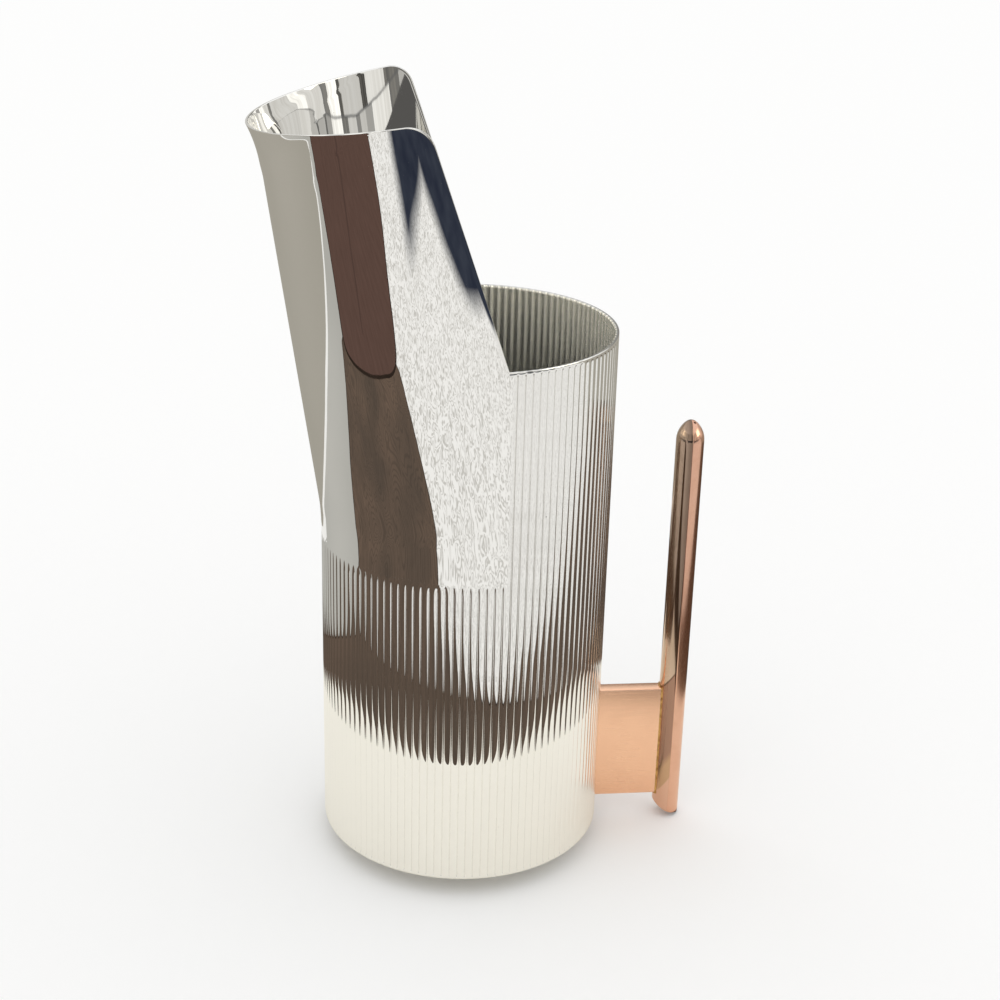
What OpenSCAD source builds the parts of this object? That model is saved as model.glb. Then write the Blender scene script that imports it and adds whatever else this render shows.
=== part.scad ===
// Fluted cocktail pitcher with a tall flared spout and a copper side grip
// Units are millimetres. Z is up. The origin lies on the body axis, on the table plane.
// The grip points to +X and the spout to -X.

/* [Body] */
// Outer diameter of the body over the crests of the flutes
body_d = 100; // [80:1:120]
// Height of the fluted wall from its lower edge to the rim
body_h = 185.4; // [150:0.2:220]
// Thickness of the metal sheet
sheet_t = 0.9; // [0.7:0.05:1.4]
// Number of flutes in a full turn
flute_count = 116; // [90:2:130]
// Depth of the valley between two flutes
flute_depth = 0.45; // [0.3:0.05:0.6]
// Height of the plain edge left above and below the flutes
plain_edge = 1.0; // [0.6:0.1:2]
// Length over which a flute dies out at the rim and at the lower edge
edge_fade = 1.0; // [0.6:0.1:2]

/* [Spout] */
// Height of the plain panel's lower edge above the wall's lower edge
panel_h = 113; // [90:1:130]
// Number of flute steps that the plain panel takes out of the turn
panel_flutes = 64; // [58:2:66]
// Length over which the flutes die out below the panel
panel_fade = 4.5; // [2:0.5:8]
// Lean of the spout axis away from the body axis in degrees
spout_lean = 6.7; // [4:0.1:9]
// Half cone angle by which the spout widens in degrees
spout_widen = 1.65; // [1:0.05:2.6]
// Radius of the bend between body and spout, at the body axis
bend_r = 146; // [110:1:180]
// Height above the wall's lower edge where the lip plane would meet the body axis
lip_h = 266.1; // [240:0.1:290]
// Drop of the lip toward the front in degrees
lip_drop = 10.1; // [5:0.1:14]
// Forward lean of the two side edges in degrees
side_lean = 18.8; // [12:0.2:24]
// Radius of the two rounded top corners
corner_r = 8; // [4:0.5:12]
// Length of the front lip that curls outward
curl_h = 19.4; // [12:0.2:28]
// Radius of that outward curl
curl_r = 51; // [40:1:110]
// Forward shift of the curl, which makes it fade toward the sides
curl_shift = 8.5; // [5:0.1:11]

/* [Base] */
// Thickness of the base plate
base_t = 1.6; // [1.2:0.1:3]
// Outer diameter of the recessed foot ring
foot_d = 74; // [60:1:76]
// Height of the foot ring
foot_h = 7.1; // [6.8:0.1:9]
// Wall thickness of the foot ring
foot_t = 2; // [1.2:0.1:4]

/* [Handle bracket] */
// Thickness of the bracket
bracket_t = 5; // [3:0.2:7]
// Height of the bracket
bracket_h = 44.5; // [30:0.5:60]
// Height of the bracket's lower edge above the wall's lower edge
bracket_rise = 2.35; // [1.5:0.05:8]
// Free width between the body and the grip
finger_gap = 22.9; // [20:0.1:32]
// Rounding of the bracket's long edges
bracket_r = 0.6; // [0.3:0.1:1]
// Thickness of the braze layer under the bracket
braze_t = 0.5; // [0.3:0.1:0.8]
// Width of the braze bead that shows around the bracket's ends
bead_w = 0.5; // [0.3:0.1:0.8]

/* [Grip] */
// Diameter of the round grip
grip_d = 9.8; // [8:0.1:14]
// Thickness of the two grip shells
grip_t = 1.3; // [0.8:0.1:2]
// Height of the grip's tip above the wall's lower edge
grip_top = 150.7; // [120:0.1:180]
// Depth of the grip's lowest point below the wall's lower edge
grip_drop = 6.2; // [2:0.1:6.6]
// Length of the bullet shaped upper end
nose_h = 7.4; // [6:0.1:10]
// Radius of the very tip of that end
tip_r = 2.8; // [2:0.1:3.4]
// Radius of the curved cut at the lower end
heel_r = 17; // [12:0.5:24]
// Height above the lowest point where the hollow inside begins
heel_rise = 6; // [5:0.1:12]
// Radius of the outer lower corner of the grip
toe_r = 1.5; // [0.8:0.1:2.2]
// Diameter of the vent hole near the tip
vent_d = 0.9; // [0.6:0.1:1.4]

/* [Hidden] */
$fn = 96;
body_r = body_d / 2;
valley_r = body_r - flute_depth;
lower_z = foot_h;
rim_z = foot_h + body_h;
panel_z = foot_h + panel_h;
half_angle = panel_flutes / 2 * 360 / flute_count;
notch_x = -body_r * cos(half_angle);
half_pitch = 180 / flute_count;
inner_r = body_r - sheet_t;
inner_valley_r = inner_r - flute_depth;
corner_steps = 20;
far = body_d * 3;
skin = body_d / 2500;
mid_r = (inner_r + valley_r) / 2;
seat_r = inner_valley_r - skin;
// Share of the body diameter at which the front of the lip is taken to lie
lip_share = 0.725;
// Share of the curl's length that its tool reaches, so that it runs past the lip
curl_reach_share = 1.4;
// Extra turn of the bend, in degrees, that laps into the straight spout
bend_lap = 1.5;
// Place of the grip's curved cut, as shares of the grip radius and of the cut's radius
heel_grip_share = 0.88;
heel_out_share = 0.17;
heel_top_share = 0.2;
// Place of the vent as shares of the grip radius, outward and toward the side
vent_out_share = 0.18;
vent_side_share = 0.26;
lip_x = body_d * lip_share;
curl_z = (lip_h - lip_x * tan(lip_drop) - panel_h) / cos(spout_lean)
         - bend_r * tan(spout_lean) - curl_h + lip_x * sin(spout_lean);

silver = "Silver";
copper = "Peru";
gold = "Goldenrod";

// Radius of the arc that makes one flute, from its crest and valley radii
function reed_radius(top, low) =
    (top * top + low * low - 2 * top * low * cos(half_pitch)) /
    (2 * (top - low * cos(half_pitch)));

// Flat outline of the fluted sheet, all convex flutes with sharp valleys
module reed_outline(top, low) {
    rr = reed_radius(top, low);
    circle(r = top - rr, $fn = 240);
    for (i = [0 : flute_count - 1]) {
        rotate(i * 360 / flute_count + half_pitch) translate([top - rr, 0]) circle(r = rr, $fn = 48);
    }
}

// The part of space in front of the notch line, where the panel is
module front_space(z0, z1) {
    translate([notch_x - far, -far / 2, z0]) cube([far, far, z1 - z0]);
}

// The part of space behind the notch line
module back_space(z0, z1) {
    translate([notch_x, -far / 2, z0]) cube([far, far, z1 - z0]);
}

// Ring that fills the outer valleys below an edge at height z and fades over a length
module outer_fill(z, fade) {
    z1 = z - plain_edge;
    z2 = z1 - fade;
    rotate_extrude($fn = 240)
        polygon([
            [mid_r, z2], [valley_r - skin, z2], [body_r + skin, z1], [body_r + skin, z], [mid_r, z]
        ]);
}

// Ring that makes the lower edge plain outside and inside
module lower_fill() {
    z1 = lower_z + plain_edge;
    z2 = z1 + edge_fade;
    rotate_extrude($fn = 240)
        polygon([[seat_r, lower_z], [body_r + skin, lower_z], [body_r + skin, z1],
                 [valley_r - skin, z2], [inner_r + skin, z2], [seat_r, z1]]);
}

// Tool that takes the inner ridges down where the plain panel begins
module ridge_cut() {
    z1 = panel_z - plain_edge;
    z2 = z1 - panel_fade;
    intersection() {
        rotate_extrude($fn = 240)
            polygon([[valley_r / 2, z2], [seat_r, z2], [inner_r + skin, z1],
                     [inner_r + skin, panel_z + sheet_t], [valley_r / 2, panel_z + sheet_t]]);
        front_space(z2 - sheet_t, panel_z + 2 * sheet_t);
    }
}

// The fluted sheet with its plain edges and the opening for the panel
module fluted_wall() {
    color(silver)
    difference() {
        union() {
            translate([0, 0, lower_z]) linear_extrude(height = body_h)
                difference() {
                    reed_outline(body_r, valley_r);
                    reed_outline(inner_r, inner_valley_r);
                }
            lower_fill();
            intersection() {
                outer_fill(rim_z, edge_fade);
                back_space(lower_z, rim_z + sheet_t);
            }
            intersection() {
                outer_fill(panel_z, panel_fade);
                front_space(lower_z, panel_z + sheet_t);
            }
        }
        front_space(panel_z, rim_z + sheet_t);
        ridge_cut();
    }
}

// Solid bounded by one face of the spout sheet, r is its radius on the body
module spout_solid(r) {
    far_l = lip_h - panel_h;
    lap = body_d / 25;
    lap_r = lap * tan(spout_widen);
    far_r = far_l * tan(spout_widen);
    translate([-bend_r, 0, panel_z]) rotate([90, 0, 0]) rotate([0, 0, -1])
        rotate_extrude(angle = spout_lean + bend_lap, $fn = 360)
            translate([bend_r, 0]) circle(r = r, $fn = 240);
    translate([-bend_r * (1 - cos(spout_lean)), 0, panel_z + bend_r * sin(spout_lean)])
        rotate([0, -spout_lean, 0]) {
            translate([0, 0, -lap]) cylinder(h = far_l + lap, r1 = r - lap_r, r2 = r + far_r, $fn = 240);
            curl_solid(r);
        }
}

// Solid that pushes the front of the lip outward along an arc
module curl_solid(r) {
    start_r = r + curl_z * tan(spout_widen) - curl_shift - 2 * skin;
    translate([-curl_shift, 0, curl_z])
        rotate_extrude($fn = 240)
            difference() {
                square([start_r + curl_r / 2, curl_h * curl_reach_share]);
                translate([start_r + curl_r, 0]) circle(r = curl_r, $fn = 240);
            }
}

// Side view of the plain panel with its round top corner, x is positive toward the front
module panel_side() {
    k_t = tan(side_lean);
    l_t = tan(lip_drop);
    kx = (k_t * (lower_z + lip_h - rim_z) - notch_x) / (1 + k_t * l_t);
    kz = lower_z + lip_h - kx * l_t;
    n1 = [cos(side_lean), -sin(side_lean)];
    n2 = [-sin(lip_drop), -cos(lip_drop)];
    c = [kx, kz] + corner_r * (n1 + n2) / (1 + n1 * n2);
    a1 = 180 - side_lean;
    a2 = 90 - lip_drop;
    arc = [for (i = [0 : corner_steps]) c + corner_r * [cos(a1 + (a2 - a1) * i / corner_steps),
                                                        sin(a1 + (a2 - a1) * i / corner_steps)]];
    low = [[-notch_x, panel_z], [-notch_x, rim_z]];
    front = [[body_d, lower_z + lip_h - body_d * l_t], [body_d, panel_z]];
    polygon(concat(low, arc, front));
}

// Plain sheet that bends out of the body and widens into the flared spout
module spout_panel() {
    color(silver)
    intersection() {
        difference() {
            spout_solid(body_r + skin);
            spout_solid(inner_r + skin);
        }
        rotate([90, 0, 0]) translate([0, 0, -far / 2])
            linear_extrude(height = far) mirror([1, 0]) panel_side();
    }
}

// Disc let into the plain lower edge of the wall
module base_plate() {
    color(silver)
    translate([0, 0, lower_z]) cylinder(h = base_t, r = seat_r, $fn = 240);
}

// Recessed ring that the pitcher stands on
module foot_ring() {
    color(silver)
    difference() {
        cylinder(h = foot_h, d = foot_d, $fn = 180);
        translate([0, 0, -foot_h / 2]) cylinder(h = foot_h * 2, d = foot_d - 2 * foot_t, $fn = 180);
    }
}

bracket_z = lower_z + bracket_rise;
bracket_x = body_r + braze_t;
grip_r = grip_d / 2;
grip_x = body_r + finger_gap + grip_r;
bead_l = braze_t + bead_w;

// Braze between the bracket and the flutes, it fills the valleys under the bracket
module wall_braze() {
    rr = reed_radius(body_r, valley_r);
    color(gold)
    translate([0, 0, bracket_z]) linear_extrude(height = bracket_h)
        difference() {
            intersection() {
                circle(r = bracket_x, $fn = 240);
                translate([body_r - 2 * flute_depth, -bracket_t / 2]) square([sheet_t * 4, bracket_t]);
            }
            circle(r = body_r - rr, $fn = 240);
            for (i = [-3 : 2]) {
                rotate(i * 360 / flute_count + half_pitch)
                    translate([body_r - rr, 0]) circle(r = rr, $fn = 48);
            }
        }
}

// Flat section of the bracket with rounded long edges, seen from its end
module bracket_section() {
    a = bracket_t / 2 - bracket_r;
    b = bracket_h - bracket_r;
    translate([-bracket_t / 2, bracket_r]) square([bracket_t, bracket_h - 2 * bracket_r]);
    translate([-a, 0]) square([2 * a, bracket_h]);
    for (x = [-a, a]) {
        for (y = [bracket_r, b]) {
            translate([x, y]) circle(r = bracket_r, $fn = 32);
        }
    }
}

// Bar that joins the body to the grip
module bracket() {
    color(copper)
    difference() {
        translate([0, 0, bracket_z]) rotate([90, 0, 90])
            linear_extrude(height = grip_x) bracket_section();
        translate([0, 0, bracket_z - sheet_t])
            cylinder(h = bracket_h + 2 * sheet_t, r = bracket_x, $fn = 240);
        translate([grip_x, 0, bracket_z - sheet_t])
            cylinder(h = bracket_h + 2 * sheet_t, r = grip_r + bead_l, $fn = 96);
    }
}

// Gold braze between the bracket and the grip
module grip_braze() {
    w = bracket_t + 2 * bead_w;
    h = bracket_h + bead_w;
    color(gold)
    difference() {
        intersection() {
            translate([grip_x - grip_r - 2 * bead_l, -w / 2, bracket_z - bead_w / 2])
                cube([grip_r + bead_l, w, h]);
            translate([grip_x, 0, bracket_z - sheet_t])
                cylinder(h = bracket_h + 2 * sheet_t, r = grip_r + bead_l, $fn = 96);
        }
        translate([grip_x, 0, bracket_z - 2 * sheet_t])
            cylinder(h = bracket_h + 4 * sheet_t, r = grip_r, $fn = 96);
    }
}

// Half outline of the bullet shaped upper end for an outer radius r and a tip radius tr
module nose_outline(r, h, tr) {
    sr = (r * r + (h - tr) * (h - tr) - tr * tr) / (2 * (r - tr));
    cx = r - sr;
    ln = sr - tr;
    tx = cx + (0 - cx) / ln * sr;
    tz = (h - tr) / ln * sr;
    intersection() {
        translate([cx, 0]) circle(r = sr, $fn = 180);
        square([r, tz]);
    }
    intersection() {
        translate([0, h - tr]) circle(r = tr, $fn = 90);
        translate([0, tz]) square([r, h - tz]);
    }
}

// Side view that gives the lower end its curved cut, x is along the finger gap
module heel_side() {
    low = lower_z - grip_drop;
    out = grip_x + grip_r - toe_r;
    cx = grip_x + grip_r * heel_grip_share + heel_r * heel_out_share;
    cz = low + heel_r;
    intersection() {
        translate([cx, cz]) circle(r = heel_r, $fn = 240);
        translate([grip_x - grip_r * 2, low - heel_r]) square([out - grip_x + grip_r * 2, heel_r * 2]);
    }
    translate([out, low + toe_r]) circle(r = toe_r, $fn = 48);
    translate([out, low + toe_r]) square([toe_r, rim_z]);
    translate([grip_x - grip_r * 2, cz - heel_r * heel_top_share]) square([grip_r * 4, rim_z]);
}

// Round bar with the bullet shaped end, from a height up, inset by the shell thickness or by 0
module grip_solid(inset, low_z) {
    top_z = lower_z + grip_top - nose_h;
    translate([grip_x, 0, 0]) {
        translate([0, 0, low_z]) cylinder(h = top_z - low_z, r = grip_r - inset, $fn = 96);
        translate([0, 0, top_z]) rotate_extrude($fn = 96)
            nose_outline(grip_r - inset, nose_h - inset, tip_r - inset / 2);
    }
}

// Closed hollow grip before it is split along the seam
module grip_body() {
    low = lower_z - grip_drop;
    top_z = lower_z + grip_top - nose_h;
    difference() {
        intersection() {
            grip_solid(0, low);
            rotate([90, 0, 0]) translate([0, 0, -grip_d]) linear_extrude(height = 2 * grip_d) heel_side();
        }
        grip_solid(grip_t, low + heel_rise);
        translate([grip_x + grip_r * vent_out_share, -grip_r * vent_side_share, top_z])
            cylinder(h = nose_h * 2, d = vent_d, $fn = 24);
    }
}

// Half shell of the grip that faces the body
module grip_front_shell() {
    color(copper)
    intersection() {
        grip_body();
        translate([grip_x - grip_d, -grip_d, -grip_d]) cube([grip_d, 2 * grip_d, far]);
    }
}

// Half shell of the grip that faces away from the body
module grip_back_shell() {
    color(copper)
    intersection() {
        grip_body();
        translate([grip_x, -grip_d, -grip_d]) cube([grip_d, 2 * grip_d, far]);
    }
}

fluted_wall();
spout_panel();
base_plate();
foot_ring();
wall_braze();
bracket();
grip_braze();
grip_front_shell();
grip_back_shell();
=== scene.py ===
"""Fluted pitcher with a tall flared spout and a split copper grip, dressed for a studio picture.

The file is laid out as an add-on and is run as a script. Lengths are metres in the frame
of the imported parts: z is up, the grip points to +x and the spout to -x.
"""

import math

import bpy
import bmesh
import numpy as np
from bpy.props import FloatProperty, FloatVectorProperty, IntProperty, PointerProperty
from mathutils import Matrix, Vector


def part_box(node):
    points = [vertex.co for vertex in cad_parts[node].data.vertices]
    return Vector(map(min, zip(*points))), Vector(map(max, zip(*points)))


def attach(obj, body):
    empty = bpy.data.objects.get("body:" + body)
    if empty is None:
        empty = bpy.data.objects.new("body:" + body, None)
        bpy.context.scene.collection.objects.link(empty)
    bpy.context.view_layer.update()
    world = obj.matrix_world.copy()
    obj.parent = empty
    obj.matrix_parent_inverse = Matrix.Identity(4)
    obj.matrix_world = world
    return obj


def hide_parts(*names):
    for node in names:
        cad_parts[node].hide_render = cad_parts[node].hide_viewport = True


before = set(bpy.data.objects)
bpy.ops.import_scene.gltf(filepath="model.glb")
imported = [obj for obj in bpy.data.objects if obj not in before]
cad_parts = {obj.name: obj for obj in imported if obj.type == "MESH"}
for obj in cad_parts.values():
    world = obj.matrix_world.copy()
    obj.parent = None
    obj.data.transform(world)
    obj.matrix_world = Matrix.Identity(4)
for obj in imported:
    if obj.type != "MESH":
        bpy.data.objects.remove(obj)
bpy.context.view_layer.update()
WALL_LOW, WALL_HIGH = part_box("fluted_wall")
PANEL_LOW, PANEL_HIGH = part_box("spout_panel")
PLATE_LOW, PLATE_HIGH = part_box("base_plate")
FOOT_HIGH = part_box("foot_ring")[1]
BAR_LOW, BAR_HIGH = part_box("bracket")
BEAD_LOW, BEAD_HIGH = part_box("grip_braze")
GRIP_LOW, GRIP_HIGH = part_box("grip_back_shell")
GRIP_AXIS = GRIP_LOW.x

# Fixed sizes and shapes that no setting changes, in metres or as shares of a size
BAR_ROOT = 0.0505
FOOT_SHEET = 0.002
FOOT_EDGE = 0.0006
EDGE_MIDDLE = 0.3
HEEL_FORWARD = (0.88, 0.17)
HEEL_SHARE = 0.8
GRIP_LOOPS = (0.06, 0.015, 0.004)
VENT_PLACE = (0.18, -0.26)
SHARP_OVER = math.radians(32.0)
BEAD_WAVES = ((2100, 0.0, 0.4), (3370, 1.0, 0.35), (790, 0.0, 0.25))
LIP_REACH = 1.45
CURL_BLEND = 0.0006
CURL_START = 0.004
HANDLED_COPPER = (0.62, 0.31, 0.2)
# Handled patches of the inner grip half, in its painted reflection tone.
HANDLED_AND_REFLECTED_INNER = (0.5, 0.355, 0.262)

bl_info = {
    "name": "Fluted Pitcher",
    "version": (1, 0, 0),
    "blender": (4, 5, 0),
    "location": "3D View > Sidebar > Pitcher",
    "description": "Builds a fluted pitcher with a flared spout and a split copper grip",
    "category": "Add Mesh",
}


def length(name, description, default):
    """A length property in metres."""
    return FloatProperty(
        name=name, description=description, default=default, min=0.0, precision=5, unit="LENGTH"
    )


def angle(name, description, degrees):
    """An angle property, given in degrees."""
    return FloatProperty(
        name=name, description=description, default=math.radians(degrees), subtype="ANGLE"
    )


def share(name, description, default):
    """A plain number from 0 to 1."""
    return FloatProperty(
        name=name, description=description, default=default, min=0.0, max=1.0, subtype="FACTOR"
    )


def colour(name, description, default):
    """A colour without alpha, in linear light."""
    return FloatVectorProperty(
        name=name, description=description, default=default, min=0.0, max=1.0,
        size=3, subtype="COLOR"
    )


class BodySizes(bpy.types.PropertyGroup):
    """Sizes of the fluted body, its base plate and its foot."""

    radius: length("Body radius", "Radius over the crests of the flutes", WALL_HIGH.x)
    low: length("Lower edge", "Height of the wall's lower edge", WALL_LOW.z)
    rim: length("Rim", "Height of the rim at the grip side", WALL_HIGH.z)
    sheet: length("Sheet", "Thickness of the metal sheet", 0.0009)
    flutes: IntProperty(name="Flutes", description="Flutes in a full turn", default=116, min=24)
    depth: length("Flute depth", "Depth of the valley between two flutes", 0.00045)
    crown: share("Crown share", "Share of the depth that the gentle crown of a flute takes", 0.3)
    plain: length("Plain edge", "Plain band at the rim and at the lower edge", 0.001)
    fade: length("Edge fade", "Length over which a flute dies out at an edge", 0.0012)
    panel_fade: length("Panel fade", "Length over which a flute dies out under the panel", 0.0042)
    notch: length("Notch", "Where the plain panel ends, toward the grip", PANEL_HIGH.x)
    soft: length("Edge softness", "Rounding of the cut edges of the sheet", 0.00024)


class SpoutSizes(bpy.types.PropertyGroup):
    """Sizes of the plain panel that widens into the spout."""

    low: length("Panel edge", "Height at which the plain panel begins", PANEL_LOW.z)
    bend: length("Bend", "Radius of the bend between body and spout", 0.146)
    lean: angle("Lean", "Lean of the spout away from the body", 6.7)
    widen: angle("Widening", "Half cone angle of the spout", 1.65)
    lip: length("Lip height", "Height of the lip plane over the body axis", WALL_LOW.z + 0.2661)
    drop: angle("Lip drop", "Drop of the lip toward the front", 10.1)
    side: angle("Side lean", "Forward lean of the two side edges", 18.8)
    corner: length("Corner", "Radius of the two top corners", 0.008)
    curl_height: length("Curl length", "Length of the front lip that curls outward", 0.0194)
    curl_radius: length("Curl radius", "Radius of that outward curl", 0.051)
    curl_shift: length("Curl shift", "Forward shift that makes the curl fade", 0.0085)
    across: IntProperty(name="Across", description="Faces across the panel", default=176, min=16)


class GripSizes(bpy.types.PropertyGroup):
    """Sizes of the split grip, the bracket and the brazed joints."""

    radius: length("Grip radius", "Radius of the round grip", GRIP_HIGH.y)
    nose: length("Nose", "Length of the bullet shaped upper end", 0.0074)
    tip: length("Tip radius", "Radius of the very tip", 0.0028)
    heel: length("Heel radius", "Radius of the curved cut at the lower end", 0.017)
    toe: length("Toe radius", "Rounding of the outer lower corner", 0.0015)
    groove: length("Seam groove", "Depth of the groove where the shells meet", 0.00016)
    vent: length("Vent", "Diameter of the small vent near the tip", 0.0009)
    edge: length("Bracket edge", "Rounding of the bracket's long edges", 0.0007)
    bead: length("Bead", "Width of the braze bead along the bracket", 0.0003)
    gap: length("Joint gap", "Gap between bracket and grip that the braze fills", 0.0005)


class Finishes(bpy.types.PropertyGroup):
    """Colours of the metals and the amount of wear on them."""

    silver: colour("Silver", "Polished silver coloured metal", (0.93, 0.925, 0.908))
    copper: colour("Copper", "Polished copper of the outer grip half", (0.8, 0.475, 0.345))
    # Painted reflection: this greyer, browner copper of the inner half stands for the dark surroundings that
    # it mirrors.
    inner: colour("Inner copper", "Duller copper of the inner grip half", (0.68, 0.505, 0.385))
    bar: colour("Bracket copper", "Satin copper of the bracket", (0.98, 0.61, 0.42))
    braze: colour("Braze", "Gold coloured braze in the joints", (0.62, 0.36, 0.13))
    # Partly painted shade: the inside tone is darker than the silver, both as a duller finish and as shade
    # inside the body.
    lining: colour("Lining", "Duller metal inside the fluted body", (0.8, 0.8, 0.785))
    tarnish: colour("Tarnish", "Dark specks of tarnish", (0.16, 0.14, 0.11))
    shine: share("Roughness", "Roughness of the polished metal", 0.012)
    wear: share("Wear", "How clearly smudges and hairlines show", 0.35)


class StageLook(bpy.types.PropertyGroup):
    """Floor, light, camera and the boards that the polished metal mirrors."""

    floor: colour("Floor", "Pale floor under the pitcher", (0.985, 0.985, 0.98))
    cloth: colour("Cloth", "Cream cloth mirrored in the lower body", (0.965, 0.935, 0.845))
    sky: FloatProperty(name="Daylight", description="Strength of the even light", default=1.0, min=0.0)
    distance: length("Camera distance", "Level distance of the camera from the body axis", 0.57975)
    height: length("Camera height", "Height of the camera over the floor", 0.37365)
    around: angle("Camera side", "Turn of the camera round the pitcher", 5.5)
    turn: angle("Camera turn", "Level turn of the camera away from the axis", 1.170)
    tilt: angle("Camera tilt", "Downward tilt of the camera", 22.837)
    roll: angle("Camera roll", "Roll of the camera", 1.600)
    lens: FloatProperty(name="Lens", description="Focal length", default=65.234, unit="CAMERA")


def new_object(name, data):
    """An object in the scene with this mesh or camera."""
    made = bpy.data.objects.new(name, data)
    bpy.context.scene.collection.objects.link(made)
    return made


class Shape:
    """Corners and faces of one piece while it is being built."""

    def __init__(self):
        self.parts = []
        self.faces = []
        self.count = 0

    def add(self, grid):
        """Adds rows of points and returns their numbers in the same rows."""
        grid = np.asarray(grid, float)
        rows, cols = grid.shape[:2]
        numbers = np.arange(rows * cols).reshape(rows, cols) + self.count
        self.parts.append(grid.reshape(-1, 3))
        self.count += rows * cols
        return numbers

    def skin(self, numbers, closed=False, flip=False):
        """Covers rows of points with four-sided faces."""
        n = np.asarray(numbers)
        if closed:
            n = np.hstack([n, n[:, :1]])
        quads = np.stack([n[:-1, :-1], n[:-1, 1:], n[1:, 1:], n[1:, :-1]], axis=-1).reshape(-1, 4)
        if flip:
            quads = quads[:, ::-1]
        self.faces.extend(quads.tolist())

    def cap(self, loop, flip=False):
        """Closes a loop of points with one face."""
        loop = [int(i) for i in loop]
        self.faces.append(loop[::-1] if flip else loop)

    def build(self, name, material):
        """Makes the object, joins doubled corners and marks the sharp edges."""
        mesh = bpy.data.meshes.new(name)
        mesh.from_pydata(np.vstack(self.parts).tolist(), [], self.faces)
        work = bmesh.new()
        work.from_mesh(mesh)
        bmesh.ops.remove_doubles(work, verts=work.verts, dist=2e-7)
        bmesh.ops.dissolve_degenerate(work, dist=1e-8, edges=work.edges)
        loose = [v for v in work.verts if not v.link_faces]
        bmesh.ops.delete(work, geom=loose, context="VERTS")
        bmesh.ops.recalc_face_normals(work, faces=work.faces)
        work.to_mesh(mesh)
        work.free()
        mesh.shade_smooth()
        mesh.set_sharp_from_angle(angle=SHARP_OVER)
        mesh.materials.append(material)
        return new_object(name, mesh)


def seat(piece, slot, *nodes):
    """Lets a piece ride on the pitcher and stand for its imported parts."""
    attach(piece, "root")
    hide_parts(*nodes)


def polar(radii, turns, height):
    """Points at these radii and angles, all at one height or at one height each."""
    radii = np.broadcast_to(np.asarray(radii, float), turns.shape)
    level = np.broadcast_to(np.asarray(height, float), turns.shape)
    return np.stack([radii * np.cos(turns), radii * np.sin(turns), level], axis=-1)


FLUTE_STEPS = np.array([-1.0, -0.91, -0.8, -0.65, -0.45, -0.22, 0.0, 0.22, 0.45, 0.65, 0.8, 0.91])
RUN_OUT_STEPS = (0.0, 0.06, 0.16, 0.3, 0.48, 0.72, 1.0)


def flute_turns(flutes):
    """Angles of the columns of faces, closer together beside the valleys."""
    half = math.pi / flutes
    crests = (2 * np.arange(flutes) + 1) * half
    return (crests[:, None] + FLUTE_STEPS[None, :] * half).ravel()


def crown_dip(turns, b):
    """Dip of the outer face: a gently crowned flute between two narrow valleys."""
    half = math.pi / b.flutes
    off = np.abs(np.mod(turns, 2 * half) - half) / half
    return b.depth * (b.crown * off ** 2 + (1 - b.crown) * off ** 9)


def arc_dip(turns, top, low, flutes):
    """Dip of the inner face, where every flute is an arc between two sharp ridges."""
    half = math.pi / flutes
    arc = (top * top + low * low - 2 * top * low * math.cos(half)) / (2 * (top - low * math.cos(half)))
    centre = top - arc
    off = np.mod(turns, 2 * half) - half
    return top - (centre * np.cos(off) + np.sqrt(arc * arc - (centre * np.sin(off)) ** 2))


def run_out(share):
    """Depth share of a rolled flute at a share of its run-out, 0 at the very end."""
    return 1 - (1 - share) ** 2


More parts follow.
